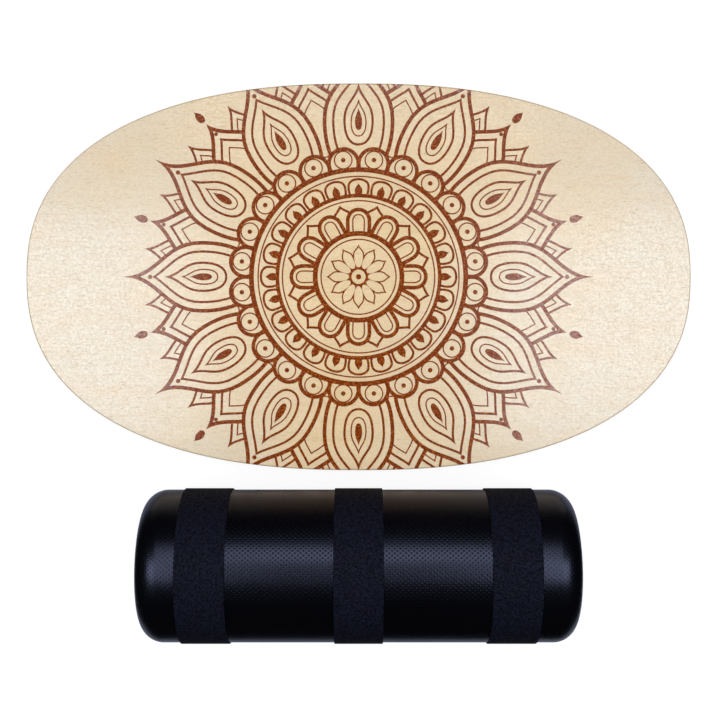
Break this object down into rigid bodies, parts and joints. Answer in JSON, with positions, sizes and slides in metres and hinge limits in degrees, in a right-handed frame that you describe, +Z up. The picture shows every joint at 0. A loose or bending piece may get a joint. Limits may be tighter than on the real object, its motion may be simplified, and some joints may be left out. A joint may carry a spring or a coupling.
{
  "type": "rola bola",
  "caption": "Oval laminated plywood balance board with end stops under it, lying beside its hollow cylindrical roller with wrapped grip bands.",
  "frame": {"origin": "on the surface that the set lies on, under the middle of the box round the deck and the roller", "axes": "+X along the deck's long side and along the roller, +Y from the roller to the deck, +Z up out of the deck's face"},
  "size_m": [0.74, 0.6076, 0.163],
  "materials": {
    "face_veneer": "pale veneer under a satin varnish",
    "long_grain_ply": "sanded and sealed edge",
    "cross_grain_ply": "sanded and sealed end grain",
    "back_veneer": "sanded veneer, thin matt varnish",
    "stop_wood": "planed hardwood, oiled",
    "screw_steel": "zinc plated",
    "shell_plastic": "satin, with a fine embossed lattice of pits",
    "plug_plastic": "plain moulded",
    "band_textile": "matt, coarse, slightly mottled"
  },
  "bodies": {
    "board": {"face_veneer": "face_veneer", "ply_02": "cross_grain_ply", "ply_03": "long_grain_ply", "ply_04": "cross_grain_ply", "ply_05": "long_grain_ply", "ply_06": "cross_grain_ply", "ply_07": "long_grain_ply", "ply_08": "cross_grain_ply", "ply_09": "long_grain_ply", "ply_10": "cross_grain_ply", "back_veneer": "back_veneer", "stop_left": "stop_wood", "stop_right": "stop_wood", "stop_screw_left_1": "screw_steel", "stop_screw_left_2": "screw_steel", "stop_screw_left_3": "screw_steel", "stop_screw_right_1": "screw_steel", "stop_screw_right_2": "screw_steel", "stop_screw_right_3": "screw_steel"},
    "roller": {"roller_shell": "shell_plastic", "roller_plug": "plug_plastic", "grip_band_left": "band_textile", "grip_band_middle": "band_textile", "grip_band_right": "band_textile"}
  },
  "joints": [
    {"name": "roller_roll", "type": "hinge", "parent": "board", "child": "roller", "pos_m": [0, -0.22225, 0.0815], "axis": [1, 0, 0], "continuous": true}
  ]
}
